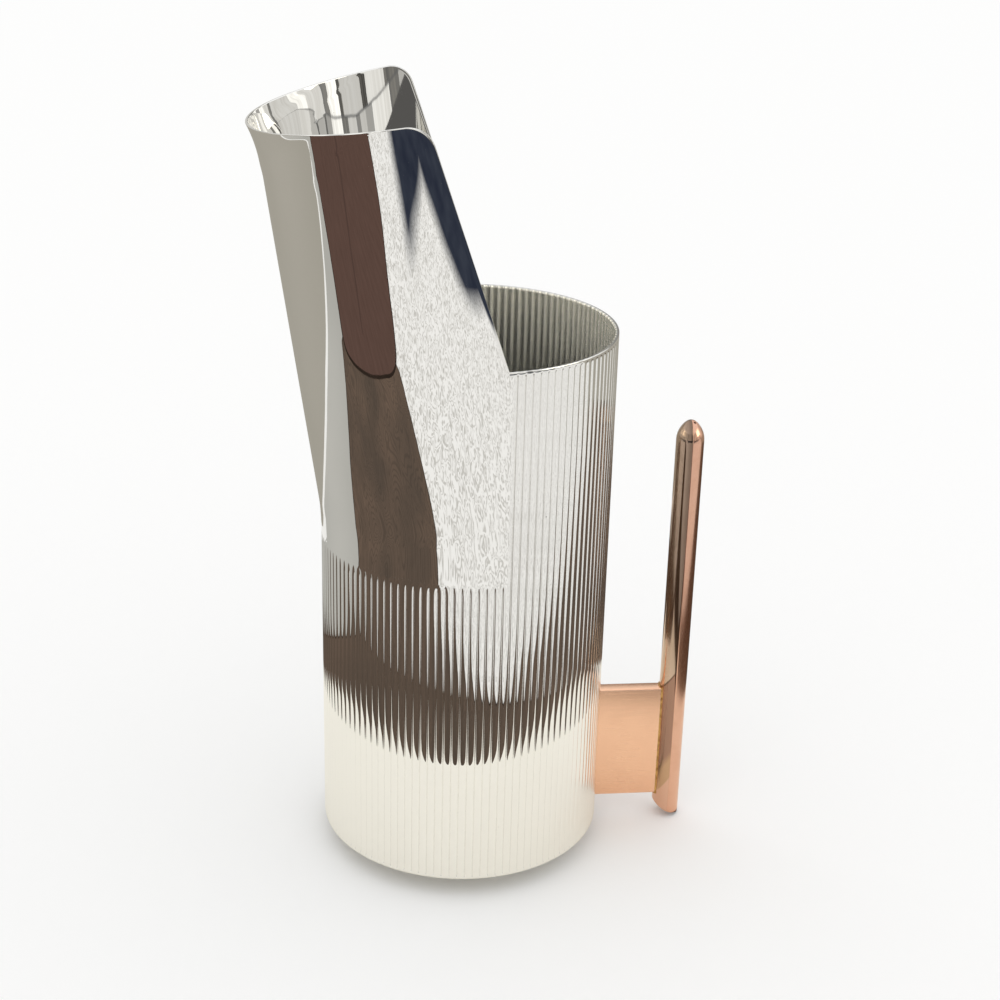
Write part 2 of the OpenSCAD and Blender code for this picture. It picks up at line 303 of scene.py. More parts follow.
class PITCHER_OT_fluted_body(bpy.types.Operator):
    """Builds the wall of the body with flutes outside and inside"""

    bl_idname = "pitcher.fluted_body"
    bl_label = "Fluted body"

    def execute(self, context):
        b = context.scene.pitcher_body
        panel = context.scene.pitcher_spout.low
        turns = flute_turns(b.flutes)
        count = len(turns)
        facets = len(FLUTE_STEPS)
        inner = b.radius - b.sheet
        dip = crown_dip(turns, b)
        dip_in = arc_dip(turns, inner, inner - b.depth, b.flutes)
        first = int(round(math.acos(b.notch / b.radius) / (2 * math.pi) * b.flutes)) * facets
        index = np.arange(count)
        plain_side = (index > first - facets // 2) & (index < count - first + facets // 2)
        body_top = panel - b.plain - b.panel_fade
        rungs = [(b.low + b.plain + b.fade * s, run_out(s), run_out(s)) for s in RUN_OUT_STEPS]
        rungs += [(b.low + (body_top - b.low) * s, 1.0, 1.0) for s in (0.35, 0.7)]
        rungs += [(panel - b.plain - b.panel_fade * s, run_out(s), 1.0) for s in RUN_OUT_STEPS[::-1]]
        rungs.append((panel, 0.0, 1.0))
        rungs = [(z, np.where(plain_side, k, other)) for z, k, other in rungs]
        e = b.soft
        m = e * EDGE_MIDDLE
        outside = [polar(b.radius - e, turns, b.low), polar(b.radius - m, turns, b.low + m)]
        outside.append(polar(b.radius, turns, b.low + e))
        outside += [polar(b.radius - dip * k, turns, z) for z, k in rungs]
        inside = [polar(inner - b.depth, turns, z) for z in (b.low, b.low + b.plain)]
        inside += [polar(inner - dip_in * k, turns, z) for z, k in rungs[6:]]
        shape = Shape()
        out_rows = shape.add(outside)
        in_rows = shape.add(inside)
        shape.skin(out_rows, closed=True)
        shape.skin(in_rows, closed=True, flip=True)
        shape.skin(np.vstack([out_rows[:1], in_rows[:1]]), closed=True, flip=True)
        front = np.arange(first, count - first + 1)
        shape.skin(np.vstack([out_rows[-1, front], in_rows[-1, front]]))
        back = np.concatenate([np.arange(count - first, count), np.arange(first + 1)])
        t = turns[back]
        ends = np.where(plain_side[back], 0.0, 1.0)
        high = [(panel + (b.rim - panel) * s, ends) for s in (0.3, 0.6)]
        high += [(b.rim - b.plain - b.fade * s, ends * run_out(s)) for s in RUN_OUT_STEPS[::-1]]
        high.append((b.rim - e, ends * 0))
        upper = [polar(b.radius - dip[back] * k, t, z) for z, k in high]
        upper += [polar(b.radius - m, t, b.rim - m), polar(b.radius - e, t, b.rim)]
        lining = inner - dip_in[back] * ends
        lower = [polar(lining, t, z) for z, _ in high]
        lower += [polar(lining + m, t, b.rim - m), polar(lining + e, t, b.rim)]
        up_rows = np.vstack([out_rows[-1:, back], shape.add(upper)])
        down_rows = np.vstack([in_rows[-1:, back], shape.add(lower)])
        shape.skin(up_rows)
        shape.skin(down_rows, flip=True)
        shape.skin(np.vstack([up_rows[-1:], down_rows[-1:]]))
        for column in (0, -1):
            shape.skin(np.stack([up_rows[:, column], down_rows[:, column]]), flip=column == 0)
        silver = new_material("Polished silver, fluted", silver_metal, True)
        seat(shape.build("fluted_body", silver), "wall", "fluted_wall")
        return {"FINISHED"}


class Spout:
    """The bent and widened sheet of the spout as a surface."""

    def __init__(self, body, spout):
        self.b = body
        self.s = spout
        self.bend_end = spout.bend * spout.lean
        reach = body.radius * LIP_REACH
        rise = spout.lip - reach * math.tan(spout.drop) - spout.low
        self.curl = (
            rise / math.cos(spout.lean) - spout.bend * math.tan(spout.lean)
            - spout.curl_height + reach * math.sin(spout.lean)
        )

    def radius(self, along, turn, base):
        """Distance from the spout axis, where base is the radius on the body."""
        s = self.s
        up = np.maximum(along - self.bend_end, 0)
        cone = base + up * math.tan(s.widen)
        start = base + self.curl * math.tan(s.widen) - s.curl_shift
        rise = np.clip(up - self.curl, 0, s.curl_radius * 0.9)
        ring = start + s.curl_radius - np.sqrt(s.curl_radius ** 2 - rise ** 2)
        side = np.maximum(ring ** 2 - (s.curl_shift * np.sin(turn)) ** 2, 0)
        lip = s.curl_shift * np.cos(turn) + np.sqrt(side)
        blend = CURL_BLEND * np.clip((up - self.curl) / CURL_START, 0, 1)
        gap = np.where(up > self.curl, lip - cone, -1.0)
        return np.where(gap > -0.003, cone + 0.5 * (gap + np.sqrt(gap ** 2 + blend ** 2)), cone)

    def point(self, along, turn, base):
        """Points of the sheet, turn is 0 at the front and grows toward -y."""
        s = self.s
        r = self.radius(along, turn, base)
        bend = np.clip(along, 0, self.bend_end) / s.bend
        up = np.maximum(along - self.bend_end, 0)
        cx = -s.bend * (1 - np.cos(bend)) - up * np.sin(bend)
        cz = s.low + s.bend * np.sin(bend) + up * np.cos(bend)
        x = cx - r * np.cos(turn) * np.cos(bend)
        z = cz - r * np.cos(turn) * np.sin(bend)
        return np.stack([x, -r * np.sin(turn), z], axis=-1)

    def place(self, x, z):
        """Length along the sheet and forward offset of points in the side view."""
        s = self.s
        bend = np.arctan2(z - s.low, x + s.bend)
        along_bend = s.bend * bend
        off_bend = s.bend - np.hypot(x + s.bend, z - s.low)
        dx = x + s.bend * (1 - math.cos(s.lean))
        dz = z - s.low - s.bend * math.sin(s.lean)
        up = dz * math.cos(s.lean) - dx * math.sin(s.lean)
        off = -dx * math.cos(s.lean) - dz * math.sin(s.lean)
        low = bend < s.lean
        return np.where(low, along_bend, self.bend_end + up), np.where(low, off_bend, off)

    def lip_at(self, turn, base, inset):
        """Length along the sheet at which it meets the lip plane."""
        s = self.s
        goal = s.lip - inset / math.cos(s.drop)
        low = np.full(turn.shape, self.bend_end)
        high = low + 0.25
        for _ in range(44):
            mid = (low + high) / 2
            p = self.point(mid, turn, base)
            over = p[..., 2] - p[..., 0] * math.tan(s.drop) > goal
            high = np.where(over, mid, high)
            low = np.where(over, low, mid)
        return (low + high) / 2

    def side_curve(self, inset):
        """Side edge from the panel's foot, round the top corner, up to the lip."""
        s = self.s
        b = self.b
        kt = math.tan(s.side)
        lt = math.tan(s.drop)
        kx = (kt * (s.lip - b.rim) - b.notch) / (1 + kt * lt)
        kz = s.lip - kx * lt
        n1 = np.array([math.cos(s.side), -math.sin(s.side)])
        n2 = np.array([-math.sin(s.drop), -math.cos(s.drop)])
        centre = np.array([kx, kz]) + s.corner * (n1 + n2) / (1 + n1 @ n2)
        a1 = math.pi - s.side
        a2 = math.pi / 2 - s.drop
        arc = [centre + (s.corner - inset) * np.array([math.cos(a), math.sin(a)])
               for a in np.linspace(a1, a2, 17)]
        foot = np.array([-b.notch, b.rim])
        start = centre - n1 * s.corner
        points = [np.array([-b.notch, z]) for z in np.linspace(s.low, b.rim, 26)]
        for t in np.linspace(0, 1, 41)[1:-1]:
            grow = min(1.0, t * 12)
            points.append(foot + (start - foot) * t + n1 * inset * grow)
        points += arc
        points = np.array(points)
        return -points[:, 0], points[:, 1]

    def grid(self, base, inset):
        """Rows of points that cover the panel from its foot to the lip."""
        x, z = self.side_curve(inset)
        along, off = self.place(x, z)
        edge = np.arccos(np.clip(off / self.radius(along, np.full(x.shape, 1.6), base), -1, 1))
        for _ in range(12):
            edge = np.arccos(np.clip(off / self.radius(along, edge, base), -1, 1))
        share_up = along / along[-1]
        across = np.linspace(-1, 1, self.s.across + 1)
        turn = edge[:, None] * across[None, :]
        fall = self.lip_at(turn, base, inset) - self.lip_at(edge, base, inset)[:, None]
        line = along[:, None] + share_up[:, None] * fall
        return self.point(line, turn, base)


class PITCHER_OT_flared_spout(bpy.types.Operator):
    """Builds the plain panel that bends out of the body and ends in the curled lip"""

    bl_idname = "pitcher.flared_spout"
    bl_label = "Flared spout"

    def execute(self, context):
        b = context.scene.pitcher_body
        sheet = Spout(b, context.scene.pitcher_spout)
        e = b.soft
        outer = b.radius
        inner = b.radius - b.sheet
        shape = Shape()
        out_rows = shape.add(sheet.grid(outer, e))
        in_rows = shape.add(sheet.grid(inner, e))
        shape.skin(out_rows, flip=True)
        shape.skin(in_rows)
        rings = [border(out_rows)]
        m = e * EDGE_MIDDLE
        for base, inset in ((outer - m, m), (outer - e, 0.0), (inner + e, 0.0), (inner + m, m)):
            points = sheet.grid(base, inset)
            rows, cols = points.shape[:2]
            ring = border(np.arange(rows * cols).reshape(rows, cols))
            rings.append(shape.add(points.reshape(-1, 3)[ring][None])[0])
        rings.append(border(in_rows))
        shape.skin(np.stack(rings), closed=True)
        silver = new_material("Polished silver, spout", silver_metal, False)
        seat(shape.build("flared_spout", silver), "spout", "spout_panel")
        return {"FINISHED"}


def border(numbers):
    """Numbers of the points round the border of a grid, in order."""
    n = np.asarray(numbers)
    return np.concatenate([n[0, :-1], n[:-1, -1], n[-1, :0:-1], n[:0:-1, 0]])


class PITCHER_OT_base_and_foot(bpy.types.Operator):
    """Finishes the base plate and the recessed foot ring"""

    bl_idname = "pitcher.base_and_foot"
    bl_label = "Base and foot"

    def execute(self, context):
        b = context.scene.pitcher_body
        turned = new_material("Turned silver, base", turned_metal)
        seat_radius = b.radius - b.sheet - b.depth
        plate = Shape()
        outline = [
            (0.0, PLATE_HIGH.z - 0.0002), (seat_radius * 0.5, PLATE_HIGH.z - 0.00015),
            (seat_radius * 0.88, PLATE_HIGH.z - 0.0001), (seat_radius - 0.0016, PLATE_HIGH.z - 0.0001),
            (seat_radius - 0.0006, PLATE_HIGH.z), (seat_radius, PLATE_HIGH.z),
            (seat_radius, PLATE_LOW.z), (seat_radius - 0.0004, PLATE_LOW.z),
            (seat_radius * 0.94, PLATE_LOW.z + 0.0002), (0.0, PLATE_LOW.z + 0.0002),
        ]
        lathe(plate, outline)
        seat(plate.build("base_disc", turned), "base", "base_plate")
        ring = Shape()
        top = FOOT_HIGH.z
        e = FOOT_EDGE
        m = e * EDGE_MIDDLE
        out = FOOT_HIGH.x
        back = out - FOOT_SHEET
        ring_line = [
            (out, top), (out, e), (out - m, m), (out - e, 0.0),
            (back + e, 0.0), (back + m, m), (back, e), (back, top),
        ]
        lathe(ring, ring_line + ring_line[:1])
        seat(ring.build("foot_hoop", turned), "foot", "foot_ring")
        return {"FINISHED"}


def lathe(shape, outline):
    """Turns an outline of (radius, height) points round the body axis."""
    turns = np.arange(180) * 2 * math.pi / 180
    rows = shape.add([polar(r, turns, z) for r, z in outline])
    shape.skin(rows, closed=True, flip=True)


class PITCHER_OT_bracket(bpy.types.Operator):
    """Builds the flat bar that joins the body to the grip"""

    bl_idname = "pitcher.bracket"
    bl_label = "Bracket"

    def execute(self, context):
        g = context.scene.pitcher_grip
        half = BAR_HIGH.y
        middle = (BAR_HIGH.z + BAR_LOW.z) / 2
        tall = (BAR_HIGH.z - BAR_LOW.z) / 2
        e = g.edge
        section = []
        for sy, sz, start in ((1, 1, 0.0), (-1, 1, 0.5), (-1, -1, 1.0), (1, -1, 1.5)):
            for a in np.linspace(start, start + 0.5, 7) * math.pi:
                y = sy * (half - e) + e * math.cos(a)
                section.append((y, middle + sz * (tall - e) + e * math.sin(a)))
        y, z = np.array(section).T
        wall_side = np.sqrt(BAR_ROOT ** 2 - y ** 2)
        run = GRIP_AXIS - np.sqrt((g.radius + g.gap) ** 2 - y ** 2) - wall_side
        shares = (0.0, 0.03, 0.12, 0.35, 0.65, 0.88, 0.97, 1.0)
        rows = [np.stack([wall_side + run * s, y, z], axis=-1) for s in shares]
        shape = Shape()
        numbers = shape.add(rows)
        shape.skin(numbers, closed=True)
        shape.cap(numbers[0])
        shape.cap(numbers[-1], flip=True)
        copper = new_material("Satin copper, bracket", satin_copper)
        seat(shape.build("bracket_bar", copper), "bracket", "bracket")
        return {"FINISHED"}


class PITCHER_OT_braze_seams(bpy.types.Operator):
    """Builds the gold coloured braze between bracket, body and grip"""

    bl_idname = "pitcher.braze_seams"
    bl_label = "Braze seams"

    def execute(self, context):
        g = context.scene.pitcher_grip
        gold = new_material("Gold braze", braze_metal)
        half = BAR_HIGH.y
        shares = np.linspace(0, 1, 5)[1:-1]
        outer_y = np.linspace(half, -half, 9)
        outer_x = GRIP_AXIS - np.sqrt((g.radius + g.gap) ** 2 - outer_y ** 2)
        rows = []
        for z in np.linspace(BEAD_LOW.z, BEAD_HIGH.z, 90):
            wave = sum(k * math.sin(z * often + start) for often, start, k in BEAD_WAVES)
            bead = g.bead * (0.72 + 0.26 * wave)
            edge = min(half + bead, g.radius * 0.98)
            inner_y = np.linspace(-edge, edge, 15)
            inner = np.stack([GRIP_AXIS - np.sqrt(g.radius ** 2 - inner_y ** 2), inner_y], axis=-1)
            rim_y = half + bead * (1 - shares) ** 2
            rim_x = GRIP_AXIS - np.sqrt((g.radius + g.gap * shares) ** 2 - rim_y ** 2)
            rim = np.stack([rim_x, rim_y], axis=-1)
            outer = np.stack([outer_x, outer_y], axis=-1)
            loop = np.vstack([inner, rim, outer, rim[::-1] * (1, -1)])
            rows.append(np.column_stack([loop, np.full(len(loop), z)]))
        shape = Shape()
        numbers = shape.add(rows)
        shape.skin(numbers, closed=True)
        shape.cap(numbers[0], flip=True)
        shape.cap(numbers[-1])
        seat(shape.build("grip_braze_bead", gold), "braze", "grip_braze")
        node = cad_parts["wall_braze"]
        node.data.materials.clear()
        node.data.materials.append(gold)
        return {"FINISHED"}


def nose_line(radius, nose, tip, count):
    """Half outline of the bullet shaped end, as (radius, height over its start)."""
    arc = (radius ** 2 + (nose - tip) ** 2 - tip ** 2) / (2 * (radius - tip))
    centre = radius - arc
    reach = arc - tip
    turn = math.asin((nose - tip) / reach)
    line = [(centre + arc * math.cos(a), arc * math.sin(a)) for a in np.linspace(0, turn, count)]
    for a in np.linspace(turn, math.pi / 2, count)[1:]:
        line.append((tip * math.cos(a), nose - tip + tip * math.sin(a)))
    return line


def heel_height(x, g):
    """Height of the curved cut at the grip's lower end."""
    low = GRIP_LOW.z
    cx = GRIP_AXIS + g.radius * HEEL_FORWARD[0] + g.heel * HEEL_FORWARD[1]
    cut = low + g.heel - np.sqrt(np.maximum(g.heel ** 2 - (x - cx) ** 2, 0))
    out = GRIP_AXIS + g.radius - g.toe
    toe = low + g.toe - np.sqrt(np.maximum(g.toe ** 2 - np.maximum(x - out, 0) ** 2, 0))
    return np.minimum(np.where(x > out, toe, cut), low + g.heel * HEEL_SHARE)


class PITCHER_OT_split_grip(bpy.types.Operator):
    """Builds the two half shells of the copper grip with the groove between them"""

    bl_idname = "pitcher.split_grip"
    bl_label = "Split grip"

    def execute(self, context):
        g = context.scene.pitcher_grip
        look = context.scene.pitcher_finish
        for name, side, node, label, values in (
            ("grip_outer_half", 1, "grip_back_shell", "Polished copper, outer half",
             (look.copper, HANDLED_COPPER, 0.0, 0.17)),
            # The inner half is painted a greyer, browner copper as a painted reflection; its 0.85 also paints
            # the brown reflection toward the seam and the reflection of the bracket.
            ("grip_inner_half", -1, "grip_front_shell", "Copper with painted reflection, inner half",
             (look.inner, HANDLED_AND_REFLECTED_INNER, 0.85, 0.08)),
        ):
            piece = half_grip(g, side).build(name, new_material(label, polished_copper, *values))
            if side == 1:
                drill_vent(piece, g)
            seat(piece, "grip", node)
        return {"FINISHED"}


def half_grip(g, side):
    """One half of the round grip, side is 1 away from the body and -1 toward it."""
    bend = math.pi / 2 - 2.2 * g.groove / g.radius
    between = (bend + math.pi / 2) / 2
    turns = np.array([-math.pi / 2, -between, *np.linspace(-bend, bend, 37), between, math.pi / 2])
    sink = np.zeros(len(turns))
    sink[[0, -1]] = g.groove
    sink[[1, -2]] = g.groove * 0.3

    def row(reach, height=None, rise=0.0):
        x = GRIP_AXIS + side * reach * np.cos(turns)
        if height is None:
            cut = heel_height(x, g)
            height = cut + (GRIP_LOW.z + 0.02 - cut) * rise
        return np.stack([x, reach * np.sin(turns), np.broadcast_to(height, turns.shape)], axis=-1)

    shoulder = GRIP_HIGH.z - g.nose
    line = [(g.radius, shoulder - s) for s in GRIP_LOOPS]
    line += [(r, shoulder + z) for r, z in nose_line(g.radius, g.nose, g.tip, 12)]
    rows = [row(g.radius - sink), row(g.radius - sink, rise=0.12)]
    rows += [row(np.maximum(r - sink, 0), z) for r, z in line]
    under = [rows[0]] + [row((g.radius - sink) * s) for s in (0.97, 0.9, 0.7, 0.4, 0.0)]
    shape = Shape()
    numbers = shape.add(rows)
    below = shape.add(under)
    shape.skin(numbers, flip=side == -1)
    shape.skin(below, flip=side == 1)
    loop = [*numbers[:, 0], *numbers[::-1, -1], *below[1:, -1], *below[-2:0:-1, 0]]
    shape.cap(loop, flip=side == 1)
    return shape


def drill_vent(piece, g):
    """Cuts the small vent hole into the rounded end."""
    mesh = bpy.data.meshes.new("vent_drill")
    work = bmesh.new()
    r = g.vent / 2
    bmesh.ops.create_cone(work, cap_ends=True, segments=20, radius1=r, radius2=r, depth=0.006)
    work.to_mesh(mesh)
    work.free()
    # The walls of the hole take a painted shade.
    mesh.materials.append(new_material("Vent", vent_painted_shade))
    drill = new_object("vent_drill", mesh)
    east, north = VENT_PLACE
    drill.location = (GRIP_AXIS + g.radius * east, g.radius * north, GRIP_HIGH.z)
    cut = piece.modifiers.new("Vent", "BOOLEAN")
    cut.object = drill
    cut.operation = "DIFFERENCE"
    cut.solver = "EXACT"
    bpy.context.view_layer.update()
    with bpy.context.temp_override(object=piece, active_object=piece, selected_objects=[piece]):
        bpy.ops.object.modifier_apply(modifier=cut.name)
    bpy.data.objects.remove(drill)


class Nodes:
    """A short way to build the node tree of a material or of a group."""

    def __init__(self, tree):
        self.tree = tree

    def add(self, kind, values=None, **settings):
        """Adds a node, sets its options, then sets or links its inputs."""
        node = self.tree.nodes.new(kind)
        for key, value in settings.items():
            setattr(node, key, value)
        for key, value in (values or {}).items():
            self.put(node.inputs[key], value)
        return node

    def put(self, socket, value):
        """Links an output to a socket, or sets the socket's own value."""
        if isinstance(value, bpy.types.NodeSocket):
            self.tree.links.new(value, socket)
        else:
            socket.default_value = (*value, 1.0) if socket.type == "RGBA" else value

    def maths(self, operation, a, b=0.0):
        return self.add("ShaderNodeMath", {0: a, 1: b}, operation=operation).outputs[0]

    def times(self, a, b):
        return self.maths("MULTIPLY", a, b)

    def plus(self, a, b):
        return self.maths("ADD", a, b)

    def minus(self, a, b):
        return self.maths("SUBTRACT", a, b)

    def range(self, value, low, high, to_low=0.0, to_high=1.0):
        node = self.add("ShaderNodeMapRange", {
            "Value": value, "From Min": low, "From Max": high, "To Min": to_low, "To Max": to_high,
        })
        return node.outputs[0]

    def step(self, value, edge, soft):
        """Mask that rises from 0 to 1 round an edge, over twice the softness."""
        return self.range(value, edge - soft, edge + soft)

    def mix(self, factor, a, b):
        """Colour between two colours."""
        return self.add("ShaderNodeMix", {0: factor, 6: a, 7: b}, data_type="RGBA").outputs[2]

    def noise(self, vector, scale, detail=2.0, rough=0.5, distortion=0.0):
        node = self.add("ShaderNodeTexNoise", {
            "Vector": vector, "Scale": scale, "Detail": detail, "Roughness": rough,
            "Distortion": distortion,
        })
        return node.outputs[0]

    def stretch(self, vector, x, y, z):
        node = self.add("ShaderNodeVectorMath", {0: vector, 1: (x, y, z)}, operation="MULTIPLY")
        return node.outputs[0]

    def place(self):
        return self.add("ShaderNodeTexCoord").outputs["Object"]

    def split(self, vector):
        return self.add("ShaderNodeSeparateXYZ", {0: vector}).outputs

    def from_axis(self, place):
        """Distance from the upright axis of the body."""
        flat = self.stretch(place, 1.0, 1.0, 0.0)
        return self.add("ShaderNodeVectorMath", {0: flat}, operation="LENGTH").outputs["Value"]

    def effect(self, name, place, *values):
        """Places one of the shared effects and returns its outputs."""
        node = self.add("ShaderNodeGroup", node_tree=effect_group(name))
        for socket, value in zip(node.inputs, (place, *values)):
            self.put(socket, value)
        return node.outputs


def effect_group(name):
    """The node group of a shared effect, built when it is asked for first."""
    tree = bpy.data.node_groups.get(name)
    if tree:
        return tree
    fill, inputs, outputs = EFFECTS[name]
    tree = bpy.data.node_groups.new(name, "ShaderNodeTree")
    tree.interface.new_socket("Place", in_out="INPUT", socket_type="NodeSocketVector")
    for label, default in inputs.items():
        socket = tree.interface.new_socket(label, in_out="INPUT", socket_type="NodeSocketFloat")
        socket.default_value = default
    for label in outputs:
        tree.interface.new_socket(label, in_out="OUTPUT", socket_type="NodeSocketFloat")
    n = Nodes(tree)
    n.add("NodeGroupOutput", fill(n, n.add("NodeGroupInput").outputs))
    return tree


def handling_marks(n, given):
    """Soft smudges and fine hairlines of a handled, polished metal."""
    place = given["Place"]
    smudge = n.range(n.noise(place, 26.0, 3.0, 0.55, 0.6), 0.5, 0.78)
    fine = n.noise(place, 900.0, 2.0, 0.6)
    lines = n.noise(n.stretch(place, 2600.0, 2600.0, 45.0), 1.0, 2.0, 0.6)
    film = n.times(smudge, given["Wear"])
    more = n.times(film, n.range(fine, 0.2, 0.8, 0.03, 0.08))
    scratch = n.times(n.times(n.range(lines, 0.62, 0.8), given["Wear"]), 0.03)
    return {
        "Roughness": n.plus(given["Base roughness"], n.plus(more, scratch)),
        "Height": n.plus(n.times(lines, 0.4), n.times(fine, 0.25)),
        "Film": film,
    }


def tarnish_specks(n, given):
    """A few dark specks of tarnish, gathered in patches."""
    place = given["Place"]
    cells = n.add("ShaderNodeTexVoronoi", {"Vector": place, "Scale": given["Scale"], "Randomness": 1.0})
    dot = n.range(cells.outputs["Distance"], 0.03, 0.065, 1.0, 0.0)
    pick = n.add("ShaderNodeSeparateColor", {"Color": cells.outputs["Color"]}).outputs[0]
    patch = n.range(n.noise(place, 22.0, 1.0), 0.42, 0.62)
    limit = n.times(n.times(patch, given["Density"]), 0.1)
    return {"Mask": n.times(dot, n.maths("LESS_THAN", pick, limit))}


def polish_waves(n, given):
    """The very faint waves that a hand polished sheet keeps."""
    split = n.split(given["Place"])
    tall = n.times(split["Z"], given["Upright"])
    place = n.add("ShaderNodeCombineXYZ", {0: split["X"], 1: split["Y"], 2: tall}).outputs[0]
    return {"Height": n.noise(place, given["Scale"], 1.5, 0.45)}


MARKS = "Handling marks"
SPECKS = "Tarnish specks"
WAVES = "Polish waves"
EFFECTS = {
    MARKS: (handling_marks, {"Wear": 0.3, "Base roughness": 0.04}, ("Roughness", "Height", "Film")),
    SPECKS: (tarnish_specks, {"Density": 0.5, "Scale": 260.0}, ("Mask",)),
    WAVES: (polish_waves, {"Scale": 120.0, "Upright": 0.3}, ("Height",)),
}


def new_material(name, recipe, *values):
    """A material whose recipe gives the values of its shader's sockets."""
    material = bpy.data.materials.new(name)
    material.use_nodes = True
    material.node_tree.nodes.clear()
    n = Nodes(material.node_tree)
    shader = n.add("ShaderNodeBsdfPrincipled", recipe(n, *values))
    n.add("ShaderNodeOutputMaterial", {"Surface": shader.outputs[0]})
    return material


def metal(n, tint, rough, height, strength, depth):
    """Socket values of a bare metal with a fine relief, whose strength and depth are given."""
    bump = n.add("ShaderNodeBump", {"Strength": strength, "Distance": depth, "Height": height})
    return {"Metallic": 1.0, "Base Color": tint, "Roughness": rough, "Normal": bump.outputs[0]}


HANDLED_SILVER = (0.8, 0.79, 0.75)
TURNED_SILVER = (0.74, 0.73, 0.7)
# Painted reflection: brown that the inner grip half takes toward the seam, ending in the dark seam line.
SEAM_AND_REFLECTED_BROWN = (0.16, 0.105, 0.078)
COPPER_SPECK = (0.2, 0.1, 0.06)
# Painted reflection: pink copper below the mirrored bracket on the inner grip half.
REFLECTED_PINK_BELOW = (0.76, 0.47, 0.35)
BAR_SHADE = (0.74, 0.4, 0.27)
BURNT_BRAZE = (0.27, 0.12, 0.04)
# Painted reflection of the bracket on the inner grip half: its gold and brown colours, its dark top line, its
# slant, and where it lies and fades out.
REFLECTED_BAR_GOLD = (0.6, 0.38, 0.235)
REFLECTED_BAR_BROWN = (0.4, 0.235, 0.17)
REFLECTED_BAR_EDGE = (0.13, 0.075, 0.05)
REFLECTED_BAR_EDGE_WIDTH = (0.0002, 0.0007)
REFLECTED_BAR_SOFT = 0.0003
REFLECTED_BAR_RISE = 0.0075
REFLECTED_BAR_CORE = (BAR_LOW.z + 0.008, BAR_LOW.z + 0.012)
REFLECTED_BAR_FADE = (BAR_HIGH.z + 0.006, BAR_HIGH.z + 0.03)
REFLECTED_BAR_ACROSS = (GRIP_AXIS - 0.0049, GRIP_AXIS - 0.0002)
REFLECTED_CORE_ACROSS = (GRIP_AXIS - 0.0045, GRIP_AXIS - 0.0038)
# Where the painted brown reflection runs across the inner half, toward the seam.
SEAM_AND_REFLECTION_ACROSS = (GRIP_AXIS - 0.0046, GRIP_AXIS - 0.0006)
LINING_ROUGHNESS = 0.14
SPECK_ROUGHNESS = 0.4


def silver_metal(n, fluted):
    """Polished silver coloured metal, mirror bright with traces of use; inside the flutes it is rougher and
    tinted darker, partly a duller finish and partly painted shade.
    """
    look = bpy.context.scene.pitcher_finish
    place = n.place()
    marks = n.effect(MARKS, place, look.wear, look.shine)
    specks = n.effect(SPECKS, place, 0.65 if fluted else 0.35, 230.0)["Mask"]
    waves = n.effect(WAVES, place, 95.0, 0.22)["Height"]
    tint = n.mix(n.times(marks["Film"], 0.35), look.silver, HANDLED_SILVER)
    dull = n.times(specks, SPECK_ROUGHNESS)
    if fluted:
        b = bpy.context.scene.pitcher_body
        # Inside face: rougher, and tinted darker with the lining colour, partly painted shade inside the
        # body.
        lining = n.range(n.from_axis(place), b.radius - b.sheet, b.radius - b.depth, 1.0, 0.0)
        tint = n.mix(lining, tint, look.lining)
        dull = n.plus(dull, n.times(lining, LINING_ROUGHNESS))
    tint = n.mix(specks, tint, look.tarnish)
    height = n.plus(waves, n.times(marks["Height"], 0.006))
    return metal(n, tint, n.plus(marks["Roughness"], dull), height, 1.0, 0.00005)


def turned_metal(n):
    """Silver coloured metal with the rings left by turning."""
    look = bpy.context.scene.pitcher_finish
    place = n.place()
    values = {"W": n.times(n.from_axis(place), 2600.0), "Scale": 1.0, "Detail": 3.0}
    rings = n.add("ShaderNodeTexNoise", values, noise_dimensions="1D").outputs[0]
    marks = n.effect(MARKS, place, 0.7, 0.16)
    tint = n.mix(n.range(rings, 0.3, 0.7), look.silver, TURNED_SILVER)
    rough = n.plus(marks["Roughness"], n.range(rings, 0.2, 0.8, 0.0, 0.12))
    return metal(n, tint, rough, rings, 0.6, 0.00002)


def polished_copper(n, bright, dull, seam, shine):
    """Copper with darker handled patches. seam is how far it darkens to brown toward the seam, mostly a
    painted reflection that ends in the dark seam line; where it is set, the painted reflection of the bracket
    is added as well.
    """
    place = n.place()
    marks = n.effect(MARKS, place, 0.8, shine)
    specks = n.effect(SPECKS, place, 0.8, 420.0)["Mask"]
    cloud = n.range(n.noise(place, 90.0, 3.0, 0.6), 0.45, 0.75)
    tint = n.mix(n.times(cloud, 0.5), bright, dull)
    split = n.split(place)
    # Painted reflection: the inner half turns brown over its last 4 mm toward the seam, ending in the dark
    # seam line.
    tint = n.mix(n.range(split["X"], *SEAM_AND_REFLECTION_ACROSS, 0.0, seam), tint, SEAM_AND_REFLECTED_BROWN)
    # Inner half only: add the painted reflection of the bracket.
    if seam:
        tint = painted_bracket_reflection(n, split["X"], split["Z"], bright, tint)
    tint = n.mix(n.times(specks, 0.8), tint, COPPER_SPECK)
    return metal(n, tint, marks["Roughness"], marks["Height"], 0.5, 0.00001)


